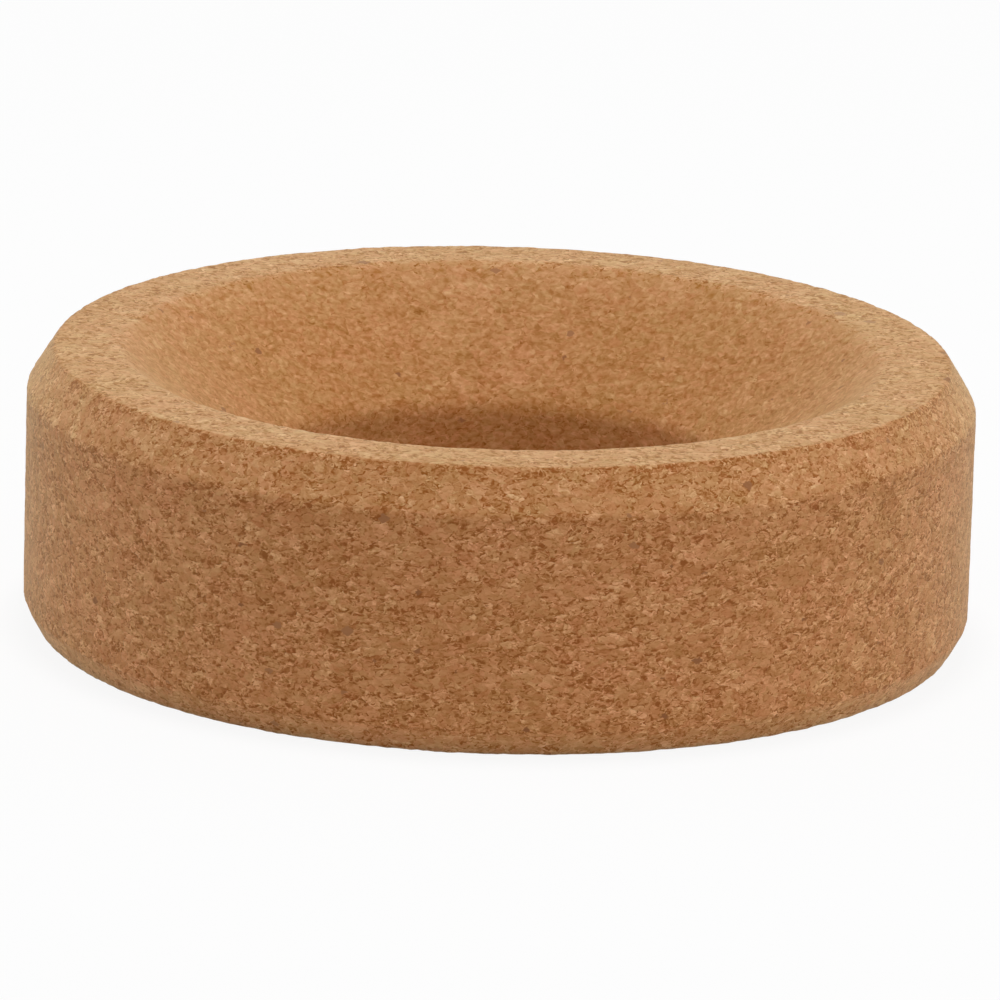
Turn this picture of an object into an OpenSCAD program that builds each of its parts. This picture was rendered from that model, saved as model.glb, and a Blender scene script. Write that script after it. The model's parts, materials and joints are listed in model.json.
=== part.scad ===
// Cork ring: a one-piece stand that holds a round-bottomed flask upright.
// The body is one section turned about Z, with its base at z = 0.
// From the top down the inside is a flat rim, a conical seat and a straight bore.

/* [Body] */
// Outside diameter of the ring
ring_d = 110; // [104:0.5:200]
// Height from the base to the flat rim
ring_h = 33; // [26:0.5:70]

/* [Flask seat] */
// Diameter of the seat's mouth at the flat rim
mouth_d = 87.6; // [64:0.1:95]
// Depth of the conical seat below the flat rim
seat_depth = 13.5; // [5:0.25:26]
// Diameter of the straight bore below the seat
bore_d = 54; // [20:0.5:78]

/* [Outer chamfers] */
// Radial width of the chamfer round the rim
rim_chamfer_w = 3.1; // [1.5:0.1:6]
// Height of the chamfer round the rim
rim_chamfer_h = 5; // [2:0.1:12]
// Radial width of the chamfer round the base
base_chamfer_w = 1.8; // [1:0.1:12]
// Height of the chamfer round the base
base_chamfer_h = 3.4; // [1:0.1:12]

/* [Softened edges] */
// Radius on the edge between the flat rim and its chamfer
rim_edge_r = 0.6; // [0.2:0.1:3]
// Radius on the shoulder where the rim's chamfer meets the wall
shoulder_r = 2; // [0.2:0.1:4]
// Radius on both edges of the base's chamfer
base_edge_r = 1.2; // [0.2:0.1:3]
// Radius on the lip where the flat rim turns down into the seat
lip_r = 1.5; // [0.2:0.1:4]
// Radius on the throat where the seat meets the bore
throat_r = 3; // [0.2:0.1:6]
// Radius on the edge where the bore meets the base
foot_r = 0.5; // [0.2:0.1:4]

/* [Hidden] */

$fn = 180;
arc_steps = 6; // straight steps that make up one softened edge
cork_colour = [0.74, 0.55, 0.37];

ring_r = ring_d / 2;
mouth_r = mouth_d / 2;
bore_r = bore_d / 2;
seat_z = ring_h - seat_depth; // height at which the cone reaches the bore's radius

// Sharp corners of the section as [radius, height, softening radius], clockwise from the bore's foot
section_corners = [
    [bore_r, 0, foot_r],
    [bore_r, seat_z, throat_r],
    [mouth_r, ring_h, lip_r],
    [ring_r - rim_chamfer_w, ring_h, rim_edge_r],
    [ring_r, ring_h - rim_chamfer_h, shoulder_r],
    [ring_r, base_chamfer_h, base_edge_r],
    [ring_r - base_chamfer_w, 0, base_edge_r]
];

function unit(v) = v / norm(v);

function point_of(corner) = [corner[0], corner[1]];

function turned(v, angle) =
    [v[0] * cos(angle) - v[1] * sin(angle), v[0] * sin(angle) + v[1] * cos(angle)];

// Points along the arc of radius r that touches both sides of the corner
function softened_corner(before, corner, after, r) =
    let (
        to_before = unit(before - corner),
        to_after = unit(after - corner),
        half_angle = acos(to_before * to_after) / 2,
        centre = corner + unit(to_before + to_after) * r / sin(half_angle),
        spoke = corner + to_before * r / tan(half_angle) - centre,
        sweep = (180 - 2 * half_angle) * sign(cross(to_after, to_before))
    )
    [for (step = [0 : arc_steps]) centre + turned(spoke, sweep * step / arc_steps)];

// Outline through the corners, each one rounded by its own radius
function softened_outline(corners) =
    let (count = len(corners))
    [
        for (i = [0 : count - 1])
            each softened_corner(
                point_of(corners[(i + count - 1) % count]),
                point_of(corners[i]),
                point_of(corners[(i + 1) % count]),
                corners[i][2]
            )
    ];

module ring_section() {
    polygon(softened_outline(section_corners));
}

module cork_ring() {
    color(cork_colour)
        rotate_extrude()
            ring_section();
}

cork_ring();
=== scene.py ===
import json
import math
from collections import namedtuple

import bpy
from mathutils import Matrix, Vector


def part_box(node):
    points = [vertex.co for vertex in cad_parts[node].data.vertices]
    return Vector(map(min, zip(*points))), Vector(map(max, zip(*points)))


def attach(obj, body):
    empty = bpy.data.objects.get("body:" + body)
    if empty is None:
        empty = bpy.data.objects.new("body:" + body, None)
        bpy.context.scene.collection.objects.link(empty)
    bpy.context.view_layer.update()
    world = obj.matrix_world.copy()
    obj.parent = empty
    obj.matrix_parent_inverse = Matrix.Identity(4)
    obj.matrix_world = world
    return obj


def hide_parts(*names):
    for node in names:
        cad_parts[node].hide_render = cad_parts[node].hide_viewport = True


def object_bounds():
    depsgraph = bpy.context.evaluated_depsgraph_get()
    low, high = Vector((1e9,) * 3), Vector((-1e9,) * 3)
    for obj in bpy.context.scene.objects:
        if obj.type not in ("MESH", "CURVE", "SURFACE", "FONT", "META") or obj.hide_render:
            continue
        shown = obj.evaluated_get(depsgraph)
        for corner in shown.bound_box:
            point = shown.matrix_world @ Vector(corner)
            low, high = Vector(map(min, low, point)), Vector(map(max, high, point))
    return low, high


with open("model.json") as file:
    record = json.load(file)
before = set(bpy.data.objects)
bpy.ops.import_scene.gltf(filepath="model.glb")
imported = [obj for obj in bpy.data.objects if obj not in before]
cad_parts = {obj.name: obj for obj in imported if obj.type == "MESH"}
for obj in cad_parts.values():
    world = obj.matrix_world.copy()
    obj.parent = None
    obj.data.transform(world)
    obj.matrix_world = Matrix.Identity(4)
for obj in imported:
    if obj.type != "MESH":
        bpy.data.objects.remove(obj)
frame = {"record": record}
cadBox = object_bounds()
mm = 0.001
scene = bpy.context.scene


class Wire:  # one output socket; arithmetic on it adds Math nodes to its tree
    def __init__(self, graph, socket):
        self.graph = graph
        self.socket = socket

    def output(self, name):  # another output of the same node
        return Wire(self.graph, self.socket.node.outputs[name])

    def math(self, operation, *values):
        return self.graph.node("ShaderNodeMath", {"operation": operation}, dict(enumerate(values)))

    def __add__(self, value):
        return self.math("ADD", self, value)

    def __radd__(self, value):
        return self.math("ADD", value, self)

    def __sub__(self, value):
        return self.math("SUBTRACT", self, value)

    def __rsub__(self, value):
        return self.math("SUBTRACT", value, self)

    def __mul__(self, value):
        return self.math("MULTIPLY", self, value)

    def __rmul__(self, value):
        return self.math("MULTIPLY", value, self)

    def __gt__(self, value):
        return self.math("GREATER_THAN", self, value)

    def smooth(self, low, high):  # 0 at low and 1 at high, eased in between
        return self.graph.node("ShaderNodeMapRange", {"interpolation_type": "SMOOTHSTEP"},
                               {"Value": self, "From Min": low, "From Max": high})


class Graph:  # a node tree, of a material or of Geometry Nodes
    def __init__(self, tree):
        self.tree = tree

    def node(self, kind, settings=None, values=None, output=0):
        made = self.tree.nodes.new(kind)
        for name, setting in (settings or {}).items():
            if name == "stops":
                self.setStops(made.color_ramp, setting)
            else:
                setattr(made, name, setting)
        for key, value in (values or {}).items():
            self.feed(made.inputs[key], value)
        return Wire(self, made.outputs[output]) if len(made.outputs) else made

    def setStops(self, ramp, stops):
        while len(ramp.elements) < len(stops):
            ramp.elements.new(1)
        for element, (position, colour) in zip(ramp.elements, stops):
            element.position = position
            element.color = (*colour, 1)

    def feed(self, socket, value):
        if isinstance(value, Wire):
            self.tree.links.new(value.socket, socket)
        else:
            socket.default_value = value

    def vector(self, operation, *values):
        return self.node("ShaderNodeVectorMath", {"operation": operation}, dict(enumerate(values)))

    def dot(self, first, second):
        return self.vector("DOT_PRODUCT", first, second).output("Value")

    def scaled(self, vector, factor):
        return self.node("ShaderNodeVectorMath", {"operation": "SCALE"}, {"Vector": vector, "Scale": factor})

    def mixed(self, factor, first, second):  # sockets 6, 7 and 2 are a colour Mix node's A, B and Result
        return self.node("ShaderNodeMix", {"data_type": "RGBA"}, {0: factor, 6: first, 7: second}, 2)

    def noise(self, place, size, detail=1, roughness=0.5):
        return self.node("ShaderNodeTexNoise", {},
                         {"Vector": place, "Scale": 1 / size, "Detail": detail, "Roughness": roughness})

    def cells(self, place, size, feature="F1", distance="EUCLIDEAN"):
        return self.node("ShaderNodeTexVoronoi", {"feature": feature, "distance": distance},
                         {"Vector": place, "Scale": 1 / size, "Randomness": 1})


# cork

corkLook = {
    # sizes in millimetres; the relief of the mesh follows the shards too
    "shard": 2.2,  # the widest granules, which are broken into chips, and these into crumbs
    "chip": 1.0,
    "crumb": 0.5,
    "splinter": 0.34,
    # hollows, darkened as painted shade
    "hollowShade": 0.55,
    "gap": 0.45,  # stretches where the edge of a chip stands open
    "broken": 1.2,  # patches where the granules are broken small
    "torn": 3.5,  # stretches where an edge has crumbled, its holes darkened as painted shade
    "tornHole": 0.45,
    "openedHole": 0.7,  # holes that the sanding has opened, darkened as painted shade
    "blotch": 0.7,  # soft blotches on the rubbed seat
    "blush": 12,  # wide drift in hue
    "barkSpacing": 4,  # between the few flakes of bark
    "wave": 0.7,  # of the waves that bend the granules
    "bend": 0.8,  # how far the waves bend them
    "bumpDepth": 0.1,  # of the chips and splinters, which the mesh doesn't show
    # shares
    "flatten": 1.45,  # pressed flatter than wide
    "stretch": 0.35,  # how much longer a chip is along its shard
    # how a mark changes the shade where the cork is whole, and what broken cork adds to that
    "marks": {
        "chip": (0.26, 0.1),
        "crumb": (0.1, 0.32),
        # painted highlight on the chips' upper edges
        "chipHighlight": (0.1, 0.2),
        # painted shade in hollows
        "hollowShade": (-0.18, -0.27),
        "splinter": (0.25, 0.8),
        # painted shade on the crumbs' lower sides
        "pitShade": (-0.16, -0.44),
        # painted shadow under the chips' lower edges
        "creviceShadow": (-0.68, -0.935),
    },
    # shades, from 0 in a crevice to 1 on a fresh cut
    "middleShade": 0.54,
    "contrast": 0.955,
    # darkening of the holes in crumbled edges, painted shade
    "tornShadeDepth": 0.6,
    # darkening of the opened holes, painted shade
    "openedShadeDepth": 0.32,
    "blotchDepth": 2.3,
    "handledDepth": 0.22,  # darkening of a rubbed face that isn't sanded
    "sandedCalm": 0.25,  # how much a sanded face evens out its marks
    "rubbedCalm": (0.8, 1.5, 1.7),  # how fast rubbing evens out the wide, the small and the fine marks
    "tones": [  # shade and colour
        (0.0, (0.282, 0.084, 0.015)),
        (0.25, (0.390, 0.145, 0.041)),
        (0.5, (0.504, 0.215, 0.079)),
        (0.75, (0.622, 0.300, 0.130)),
        (1.0, (0.752, 0.400, 0.195)),
    ],
    # tints, which the tones are multiplied by, and the colours of bark
    "hueDrift": 0.62,
    "rosy": (1.045, 0.978, 1.02, 1),
    "olive": (0.955, 1.022, 0.96, 1),
    "deepShade": (0.9, 0.87, 0.4),  # holes and other dark marks in a sanded face, largely painted shade, turned a deeper brown
    "handled": ((0.97, 1.0, 1.08), (0, 0, -0.016)),  # multiplied, then added
    # paler, yellower colour of a sanded face, multiplied then added; it also paints light: the whitish sheen
    # of the lit rim and the brighter chamfer
    "sandedAndLit": ((0.96, 1.23, 1.37), (0.042, -0.013, -0.01)),
    "darkBark": (0.28, 0.103, 0.036, 1),
    "paleBark": (0.365, 0.155, 0.062, 1),
}

# cell is the distance from the granule's own point; the others are its random numbers, from -0.5 to 0.5
Granules = namedtuple("Granules", "cell tone pick hue")


def granulePlace(graph, place):  # a place on the ring in millimetres, bent so that no granule is regular
    pressed = graph.vector("MULTIPLY", graph.scaled(place, 1 / mm), (1, 1, corkLook["flatten"]))
    wave = graph.noise(pressed, corkLook["wave"]).output("Color")
    bend = graph.vector("SUBTRACT", wave, (0.5, 0.5, 0.5))
    return graph.vector("ADD", pressed, graph.scaled(bend, corkLook["bend"]))


def granuleLean(graph, cell):  # the way a granule leans, as a vector from -0.5 to 0.5
    return graph.vector("SUBTRACT", cell.output("Color"), (0.5, 0.5, 0.5))


def granuleTilt(graph, place, cell, size):  # rises and falls across a leaning granule
    away = graph.vector("SUBTRACT", place, cell.output("Position"))
    return graph.dot(granuleLean(graph, cell), away) * (1 / size)


def granuleSide(graph, place, cell, size):  # from the upper side of a granule to its lower side, which places the painted shadows and painted highlights as for light from above
    away = graph.vector("SUBTRACT", place, cell.output("Position"))
    return graph.dot(away, (0.35 / size, -0.25 / size, -0.9 / size))


def granules(graph, place, size):
    cell = graph.cells(place, size)
    tones = graph.node("ShaderNodeSeparateXYZ", {}, {0: granuleLean(graph, cell)})
    return Granules(cell, tones, tones.output("Y"), tones.output("Z"))


def stretched(graph, place, lean, share):  # the place drawn out along the granule's own lean
    along = graph.vector("NORMALIZE", lean)
    return graph.vector("SUBTRACT", place, graph.scaled(along, graph.dot(along, place) * share))


def corkShade(graph, place, drawn, shard, chip, splinter, wearLightAndShade):  # 0 in a crevice, 1 on a fresh cut
    look = corkLook
    sanding, rubbing, crumbling = wearLightAndShade
    wideCalm, smallCalm, fineCalm = look["rubbedCalm"]
    broken = ((graph.noise(place, look["broken"]) - 0.5) * 1.5 + shard.pick * 0.5).smooth(-0.2, 0.12)

    def strength(mark):
        whole, more = look["marks"][mark]
        return broken * more + whole

    chipEdge = graph.cells(drawn, look["chip"], "DISTANCE_TO_EDGE")
    chipSide = granuleSide(graph, drawn, chip.cell, look["chip"])
    gaps = graph.noise(place, look["gap"]).smooth(0.5, 0.6)
    # painted shadow along the lower edges of the chips, where their gaps stand open, as if lit from above
    creviceShadow = (1 - chipEdge.smooth(0.04, 0.26)) * chipSide.smooth(0.1, 0.35) * gaps
    creviceShadow = creviceShadow * (chip.pick.smooth(0.1, 0.4) * 1.5 + 0.45)
    # painted highlight along the upper edges of the chips, as if lit from above
    chipHighlight = (1 - chipEdge.smooth(0.05, 0.25)) * (1 - chipSide.smooth(-0.4, -0.2))
    chipHighlight = chipHighlight * (1 - chip.pick.smooth(-0.25, -0.1))
    crumb = granules(graph, drawn, look["crumb"])
    crumbSide = granuleSide(graph, drawn, crumb.cell, look["crumb"])
    # painted shade towards the edges on the lower side of the crumbs, as if lit from above
    pitShade = crumb.cell.smooth(0.35, 0.62) * crumbSide.smooth(0.1, 0.35) * crumb.pick.smooth(0.1, 0.3)
    # hollows in the cork, darkened as painted shade
    hollowShade = graph.noise(drawn, look["hollowShade"], 0).smooth(0.59, 0.71)
    paleShard = shard.tone.smooth(0.36, 0.38)

    broad = shard.tone * 0.13 + paleShard * 0.07 + chip.tone * strength("chip")
    small = crumb.tone * strength("crumb") + chipHighlight * strength("chipHighlight") + hollowShade * strength("hollowShade")
    fine = splinter * strength("splinter") + pitShade * strength("pitShade") + creviceShadow * strength("creviceShadow")
    # crumbled stretches next to the edges, strongest just below the rim's edge, get stronger marks and holes
    # darkened as painted shade
    torn = crumbling * (graph.noise(place, look["torn"]).smooth(0.4, 0.6) * 0.6 + 0.4)
    tornHoleShade = graph.noise(place, look["tornHole"]).smooth(0.46, 0.6) * torn
    fine = fine * (torn * 0.6 + 1) - tornHoleShade * look["tornShadeDepth"]
    broad = broad * (1 - rubbing * wideCalm)
    small = small * (1 - rubbing * smallCalm)
    fine = fine * (1 - rubbing * fineCalm)
    blotches = (graph.noise(drawn, look["blotch"]) - 0.5) * rubbing * look["blotchDepth"]
    # holes opened in sanded faces, darkened as painted shade
    openedHoleShade = graph.noise(drawn, look["openedHole"], roughness=0.3).smooth(0.61, 0.68)
    openedHoleShade = openedHoleShade * sanding.smooth(0.8, 1)
    shade = (broad + small + fine + blotches) * (1 - sanding * look["sandedCalm"]) * look["contrast"]
    # opened holes are darkened, and sanded faces, which also carry painted light, are lifted slightly
    shade = shade - openedHoleShade * look["openedShadeDepth"] + sanding * 0.01
    return shade + look["middleShade"] - rubbing * (1 - sanding) * look["handledDepth"]


def withBark(graph, place, base):  # a few plain flakes of bark among the granules
    spot = graph.cells(place, corkLook["barkSpacing"], distance="MANHATTAN")
    tones = graph.node("ShaderNodeSeparateXYZ", {}, {0: granuleLean(graph, spot)})
    kind, size = tones.output("Y"), tones.output("Z")
    flake = (size * 0.14 + 0.19 - spot).smooth(0, 0.04) * (tones > 0.15)
    bark = graph.mixed(kind.smooth(-0.2, 0.3), corkLook["darkBark"], corkLook["paleBark"])
    return graph.mixed(flake, base, bark)


def corkColour(graph, place, shade, shard, chip, wearLightAndShade):
    sanding, rubbing = wearLightAndShade[:2]
    base = graph.node("ShaderNodeValToRGB", {"stops": corkLook["tones"]}, {0: shade})
    drift = shard.hue * 0.4 + chip.hue * 1.1 + (graph.noise(place, corkLook["blush"]) - 0.5) * 1.4
    tint = graph.mixed(drift * corkLook["hueDrift"] + 0.5, corkLook["rosy"], corkLook["olive"])
    base = graph.vector("MULTIPLY", base, tint)
    # the darkest tones of a sanded face, largely painted shade, get a deeper brown
    deepShade = (1 - shade.smooth(0.1, 0.48)) * sanding.smooth(0.5, 1)
    base = graph.mixed(deepShade, base, graph.vector("MULTIPLY", base, corkLook["deepShade"]))
    handled = graph.vector("MULTIPLY_ADD", base, *corkLook["handled"])
    base = graph.mixed(rubbing * (1 - sanding) * 1.4, base, handled)
    base = withBark(graph, place, base)
    # sanded faces turn paler and yellower, partly the colour of sanded cork and partly painted light on the
    # lit top, the chamfer and near the lip
    return graph.mixed(sanding, base, graph.vector("MULTIPLY_ADD", base, *corkLook["sandedAndLit"]))


def corkPattern(graph, place, wearLightAndShade):  # the granules' colour, and how high they stand
    shard = granules(graph, place, corkLook["shard"])
    drawn = stretched(graph, place, granuleLean(graph, shard.cell), corkLook["stretch"])
    chip = granules(graph, drawn, corkLook["chip"])
    splinter = graph.noise(drawn, corkLook["splinter"], roughness=0.6) - 0.5
    shade = corkShade(graph, place, drawn, shard, chip, splinter, wearLightAndShade)
    colour = corkColour(graph, place, shade, shard, chip, wearLightAndShade)
    return colour, chip.tone * 0.45 - chip.cell * 0.5 + splinter * 0.45


def corkMaterial():
    material = bpy.data.materials.new("pressedCork")
    material.use_nodes = True
    material.node_tree.nodes.clear()
    graph = Graph(material.node_tree)
    place = granulePlace(graph, graph.node("ShaderNodeTexCoord", output="Object"))
    # the looks of sanding, which also carries painted light, of rubbing, and of crumbling, which also
    # carries painted shade
    wearLightAndShade = [graph.node("ShaderNodeAttribute", {"attribute_name": name}, {}, "Fac")
            for name in ("sanding", "rubbing", "crumbling")]
    sanding, rubbing = wearLightAndShade[:2]
    colour, height = corkPattern(graph, place, wearLightAndShade)
    bump = graph.node("ShaderNodeBump", {}, {
        "Strength": 1.0, "Distance": corkLook["bumpDepth"] * mm, "Filter Width": 1.0,
        "Height": height * (1 - sanding * 0.3 - rubbing * 1.6)})
    cork = graph.node("ShaderNodeBsdfPrincipled", {}, {
        "Base Color": colour, "Roughness": 0.6, "Normal": bump, "Specular IOR Level": 0.1,
        "Sheen Weight": 0.26, "Sheen Roughness": 0.5, "Sheen Tint": (0.95, 1, 0.6, 1)})
    graph.node("ShaderNodeOutputMaterial", {}, {"Surface": cork})
    return material


# camera

view = {
    "elevation": 15.157,  # degrees above the bench
    "roll": 1.654,  # degrees, the camera's own lean
    "distance": 1.1,
    "lens": 340.5,
    "aside": 0.17 * mm,  # the aim, measured from the ring's middle
    "lift": -1.35 * mm,
}


def makeCamera():
    low, high = cadBox
    aim = Vector((view["aside"], 0, (low.z + high.z) / 2 + view["lift"]))
    tilt = math.radians(view["elevation"])
    back = Vector((0, -math.cos(tilt), math.sin(tilt)))
    data = bpy.data.cameras.new("benchCamera")
    data.lens = view["lens"]
    data.clip_start = 0.05
    data.clip_end = 20
    camera = bpy.data.objects.new("benchCamera", data)
    camera.rotation_mode = "QUATERNION"
    camera.location = aim + back * view["distance"]
    facing = (-back).to_track_quat("-Z", "Y").to_matrix().to_4x4()
    roll = Matrix.Rotation(math.radians(view["roll"]), 4, "Z")
    camera.rotation_quaternion = (facing @ roll).to_quaternion()
    scene.collection.objects.link(camera)
    scene.camera = camera
    print("camera set")


# light and floor

studio = {
    "worldLevel": 0.33,
    "floorSize": 8,
    "floorColour": (0.86, 0.86, 0.86),
    "floorGlow": 0.9,  # how far the camera sees the floor as plain white
}

lamps = [  # name, place, size, watts
    ("overhead", (0, 0, 0.9), 0.15, 3.66),
    ("leftPanel", (-0.75, 0.15, 0.25), 0.5, 0.95),
    ("rightPanel", (0.75, 0.15, 0.25), 0.5, 0.84),
    ("frontLeft", (-0.7, -0.6, 0.3), 0.5, 0.32),
    ("frontRight", (0.7, -0.6, 0.3), 0.5, 1.68),
    ("backPanel", (0, 0.8, 0.6), 0.6, 1.05),
]


def makeLamp(name, place, size, watts):
    data = bpy.data.lights.new(name, "AREA")
    data.size = size
    data.energy = watts
    lamp = bpy.data.objects.new(name, data)
    lamp.location = place
    lamp.rotation_mode = "QUATERNION"
    lamp.rotation_quaternion = (-Vector(place)).to_track_quat("-Z", "Y")
    scene.collection.objects.link(lamp)


def seenPlainly(graph):  # 1 for what the camera, a gloss or glass sees, 0 for what lights the ring
    ray = graph.node("ShaderNodeLightPath", output="Is Camera Ray")
    mirrored = ray.math("MAXIMUM", ray.output("Is Glossy Ray"), ray.output("Is Transmission Ray"))
    return ray.math("MAXIMUM", ray, mirrored)


def makeWorld():
    world = bpy.data.worlds.new("studioAir")
    world.use_nodes = True
    world.node_tree.nodes.clear()
    graph = Graph(world.node_tree)
    level = seenPlainly(graph) * (1 - studio["worldLevel"]) + studio["worldLevel"]
    air = graph.node("ShaderNodeBackground", {}, {"Color": (1, 1, 1, 1), "Strength": level})
    graph.node("ShaderNodeOutputWorld", {}, {"Surface": air})
    scene.world = world


def makeFloor():
    half = studio["floorSize"] / 2
    z = cadBox[0].z
    mesh = bpy.data.meshes.new("floor")
    corners = [(-half, -half, z), (half, -half, z), (half, half, z), (-half, half, z)]
    mesh.from_pydata(corners, [], [(0, 1, 2, 3)])
    floor = bpy.data.objects.new("floor", mesh)
    scene.collection.objects.link(floor)
    material = bpy.data.materials.new("paleFloor")
    material.use_nodes = True
    material.node_tree.nodes.clear()
    graph = Graph(material.node_tree)
    matt = graph.node("ShaderNodeBsdfDiffuse", {}, {"Color": (*studio["floorColour"], 1)})
    glow = graph.node("ShaderNodeEmission", {}, {"Color": (1, 1, 1, 1), "Strength": 1})
    seen = seenPlainly(graph) * studio["floorGlow"]
    both = graph.node("ShaderNodeMixShader", {}, {0: seen, 1: matt, 2: glow})
    graph.node("ShaderNodeOutputMaterial", {}, {"Surface": both})
    mesh.materials.append(material)


def makeStudio():
    for lamp in lamps:
        makeLamp(*lamp)
    makeWorld()
    makeFloor()
    print("studio set")


# the ring itself

ringShape = {  # millimetres; the outside and the bore come from the frame
    "mouthDiameter": 87.6,
    "seatDepth": 13.5,
    "rimChamfer": (3.1, 5),  # radial width and height
    "baseChamfer": (1.8, 3.4),
    "lip": 2.6,  # softening radii
    "throat": 3,
    "rimEdge": 0.6,
    "shoulder": 2,
    "baseEdge": 1.2,
    "foot": 0.5,
    "footing": 0.06,  # the base's mean height, as the ring stands on its proudest granules
    "granuleStep": 0.06,  # relief of the granules
    "edgeWear": 0.12,  # depth of the dents along the edges
    "dent": 1.3,  # width of those dents
    "wearReach": 0.8,  # how far along a face the wear, crumbling and sanding of its edges reach; the crumbling carries painted shade and the sanding painted light
    "crumbleAndShadeReach": 0.55,
    "sandingAndLightReach": 5,
    "sandingAndLightShare": 0.75,  # share of a sanded face's look that the face before it has at their edge; mainly this paints the seat lighter towards the lip and the base's chamfer lighter towards the base
    "steps": 480,  # round the ring
    "fine": 0.52,  # spacing along the section where it shows, under the base, and round an edge
    "coarse": 1.6,
    "edgeFine": 0.312,
}

Corner = namedtuple("Corner", "at softening spacing sanding rubbing crumbling")
SectionPoint = namedtuple("SectionPoint", "radius height arris sanding rubbing crumbling")


def ringCorners():  # from the bore's foot upwards, each with the spacing and the looks of the face after it
    s = ringShape
    outer = ringSize.x / mm / 2
    height = ringSize.z / mm
    bore = boreRadius / mm
    fine, coarse, footing = s["fine"], s["coarse"], s["footing"]
    rimWidth, rimHeight = s["rimChamfer"]
    baseWidth, baseHeight = s["baseChamfer"]
    return [
        Corner(Vector((bore, footing)), s["foot"], fine, 0, 0.4, 0.2),  # bore
        Corner(Vector((bore, height - s["seatDepth"])), s["throat"], fine, 0.3, 0.5, 0.5),  # seat
        Corner(Vector((s["mouthDiameter"] / 2, height)), s["lip"], fine, 1, 0, 0),  # flat rim; its sanding also paints the pale sheen of the lit top
        Corner(Vector((outer - rimWidth, height)), s["rimEdge"], fine, 0.5, 0, 1),  # rim's chamfer; its sanding also paints light from above, and its crumbling painted shade just below the rim's edge
        Corner(Vector((outer, height - rimHeight)), s["shoulder"], fine, 0, 0, 0.3),  # wall
        Corner(Vector((outer, baseHeight)), s["baseEdge"], fine, 0, 0, 0.3),  # base's chamfer
        Corner(Vector((outer - baseWidth, footing)), s["baseEdge"], coarse, 1, 0, 0),  # base
    ]


def roundedCorner(before, corner, after, radius):
    toBefore = (before - corner).normalized()
    toAfter = (after - corner).normalized()
    half = toBefore.angle(toAfter) / 2
    centre = corner + (toBefore + toAfter).normalized() * radius / math.sin(half)
    start = corner + toBefore * radius / math.tan(half) - centre
    sweep = (math.pi - 2 * half) * math.copysign(1, toAfter.cross(toBefore))
    count = max(4, round(abs(sweep) * radius / ringShape["edgeFine"]))
    turned = []
    for step in range(count + 1):
        cosine, sine = math.cos(sweep * step / count), math.sin(sweep * step / count)
        spoke = Vector((start.x * cosine - start.y * sine, start.x * sine + start.y * cosine))
        turned.append(centre + spoke)
    return turned


def edgePoints(arc, before, corner):  # the looks turn from the face before to the face that follows
    sandingAndLightBefore = before.sanding
    if corner.sanding > before.sanding:  # facePoints has brought the look of sanding, with its painted light, this far
        sandingAndLightBefore += ringShape["sandingAndLightShare"] * (corner.sanding - before.sanding)
    made = []
    for step, p in enumerate(arc):
        share = math.sqrt(step / (len(arc) - 1))
        sanding = sandingAndLightBefore + (corner.sanding - sandingAndLightBefore) * share
        rubbing = before.rubbing + (corner.rubbing - before.rubbing) * share
        made.append(SectionPoint(p.x, p.y, 1, sanding, rubbing, corner.crumbling * share))
    return made


def facePoints(start, end, corner, after):  # between two edges
    run = end - start
    count = max(1, round(run.length / corner.spacing))
    gain = ringShape["sandingAndLightShare"] * max(0, after.sanding - corner.sanding)
    made = []
    for step in range(1, count):
        p = start + run * step / count
        along = step * run.length / count
        nearest = min(along, run.length - along)
        arris = math.exp(-nearest / ringShape["wearReach"])
        # the sanded look of the next face spreads back into this one, as painted light
        sanding = corner.sanding + gain * math.exp((along - run.length) / ringShape["sandingAndLightReach"])
        crumbling = corner.crumbling * math.exp(-along / ringShape["crumbleAndShadeReach"])
        made.append(SectionPoint(p.x, p.y, arris, sanding, corner.rubbing, crumbling))
    return made


def ringSection():  # the closed outline of the section
    corners = ringCorners()
    corners = corners[-1:] + corners + corners[:1]
    arcs = [roundedCorner(before.at, corner.at, after.at, corner.softening)
            for before, corner, after in zip(corners, corners[1:], corners[2:])]
    points = []
    for i, arc in enumerate(arcs):
        before, corner, after = corners[i:i + 3]
        points += edgePoints(arc, before, corner)
        points += facePoints(arc[-1], arcs[(i + 1) % len(arcs)][0], corner, after)
    return points


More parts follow.
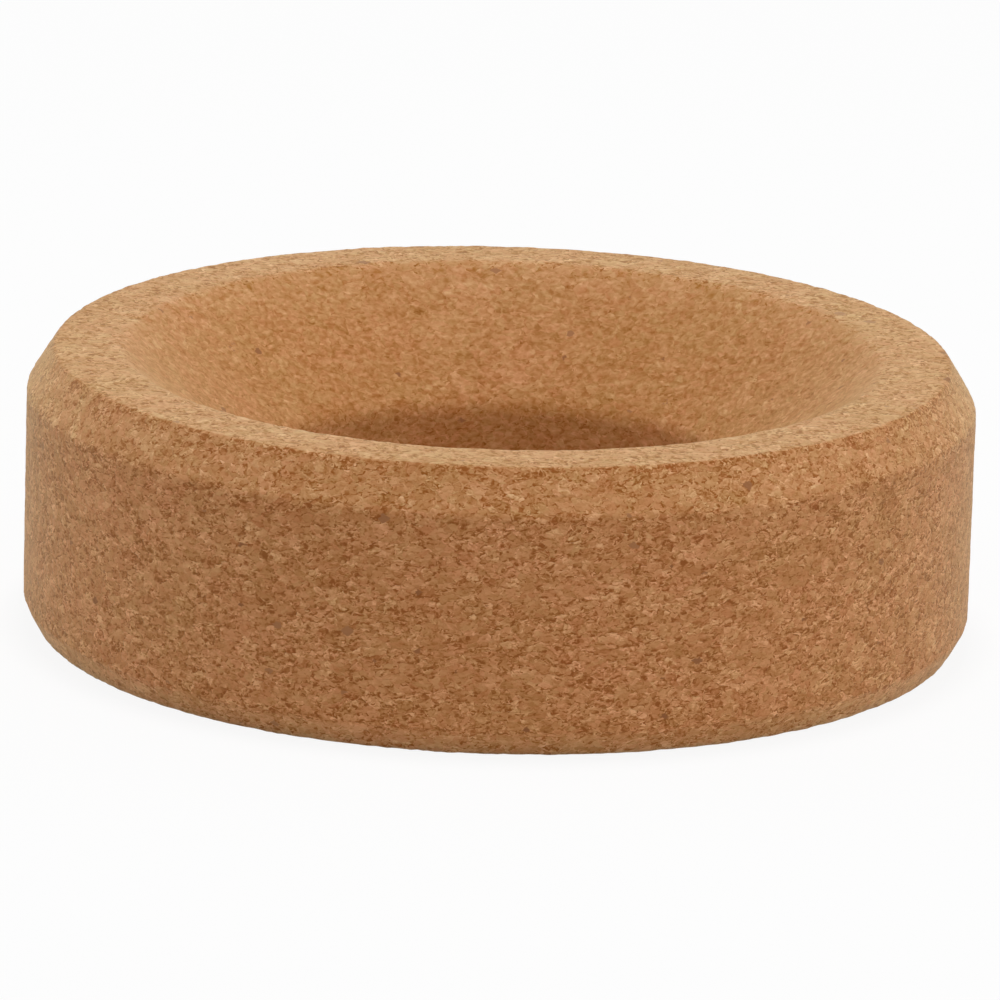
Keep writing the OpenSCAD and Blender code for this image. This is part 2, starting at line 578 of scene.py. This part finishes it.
def reliefTree(material, sizes):  # turns the section round the axis and presses the granules' relief into it
    tree = bpy.data.node_groups.new("pressedCorkRing", "GeometryNodeTree")
    tree.interface.new_socket("Geometry", in_out="INPUT", socket_type="NodeSocketGeometry")
    for name, value in sizes.items():
        kind = "NodeSocketInt" if isinstance(value, int) else "NodeSocketFloat"
        tree.interface.new_socket(name, in_out="INPUT", socket_type=kind)
    tree.interface.new_socket("Geometry", in_out="OUTPUT", socket_type="NodeSocketGeometry")
    graph = Graph(tree)
    given = graph.node("NodeGroupInput", output="Geometry")
    section = graph.node("GeometryNodeMeshToCurve", {}, {"Mesh": given})
    path = graph.node("GeometryNodeCurvePrimitiveCircle", {},
                      {"Resolution": given.output("Steps"), "Radius": given.output("Path Radius")})
    turned = graph.node("GeometryNodeCurveToMesh", {}, {"Curve": path, "Profile Curve": section})
    place = granulePlace(graph, graph.node("GeometryNodeInputPosition"))
    arris = graph.node("GeometryNodeInputNamedAttribute", {"data_type": "FLOAT"}, {"Name": "arris"})
    shard = granules(graph, place, corkLook["shard"])
    step = shard.tone + granuleTilt(graph, place, shard.cell, corkLook["shard"])
    worn = graph.noise(place, ringShape["dent"], 3, 0.6).smooth(0.35, 0.8) * arris
    relief = step * given.output("Granule Step") - worn * given.output("Edge Wear")
    offset = graph.scaled(graph.node("GeometryNodeInputNormal"), relief)
    moved = graph.node("GeometryNodeSetPosition", {}, {"Geometry": turned, "Offset": offset})
    smooth = graph.node("GeometryNodeSetShadeSmooth", {}, {"Geometry": moved})
    real = graph.node("GeometryNodeRealizeInstances", {}, {"Geometry": smooth})
    dressed = graph.node("GeometryNodeSetMaterial", {}, {"Geometry": real, "Material": material})
    graph.node("NodeGroupOutput", {}, {"Geometry": dressed})
    return tree


def sectionMesh(points, pathRadius):  # x is the radius beyond the path and y is the height, turned down
    mesh = bpy.data.meshes.new("corkSection")
    mesh.from_pydata([((point.radius - pathRadius) * mm, -point.height * mm, 0) for point in points],
                     [(i, (i + 1) % len(points)) for i in range(len(points))], [])
    for name in ("arris", "sanding", "rubbing", "crumbling"):
        values = [getattr(point, name) for point in points]
        mesh.attributes.new(name, "FLOAT", "POINT").data.foreach_set("value", values)
    return mesh


def makeRing():
    points = ringSection()
    pathRadius = ringShape["mouthDiameter"] / 2
    ring = bpy.data.objects.new("corkRing", sectionMesh(points, pathRadius))
    scene.collection.objects.link(ring)
    sizes = {
        "Path Radius": pathRadius * mm,
        "Steps": ringShape["steps"],
        "Granule Step": ringShape["granuleStep"] * mm,
        "Edge Wear": ringShape["edgeWear"] * mm,
    }
    tree = reliefTree(corkMaterial(), sizes)
    modifier = ring.modifiers.new("pressedCork", "NODES")
    modifier.node_group = tree
    for item in tree.interface.items_tree:
        if item.name in sizes:
            modifier[item.identifier] = sizes[item.name]
    evaluated = ring.evaluated_get(bpy.context.evaluated_depsgraph_get())
    finished = bpy.data.meshes.new_from_object(evaluated)
    ring.modifiers.remove(modifier)
    ring.data = finished
    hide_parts("cork_ring")
    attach(ring, "root")
    print("ring made:", len(finished.vertices), "vertices,", len(points), "section points")


ringLow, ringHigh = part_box("cork_ring")
ringSize = ringHigh - ringLow
boreRadius = [m for m in frame["record"]["mounts"] if m["name"] == "bore"][0]["dims"]["r_mm"] * mm

scene.view_settings.view_transform = "Standard"
makeCamera()
makeStudio()
makeRing()
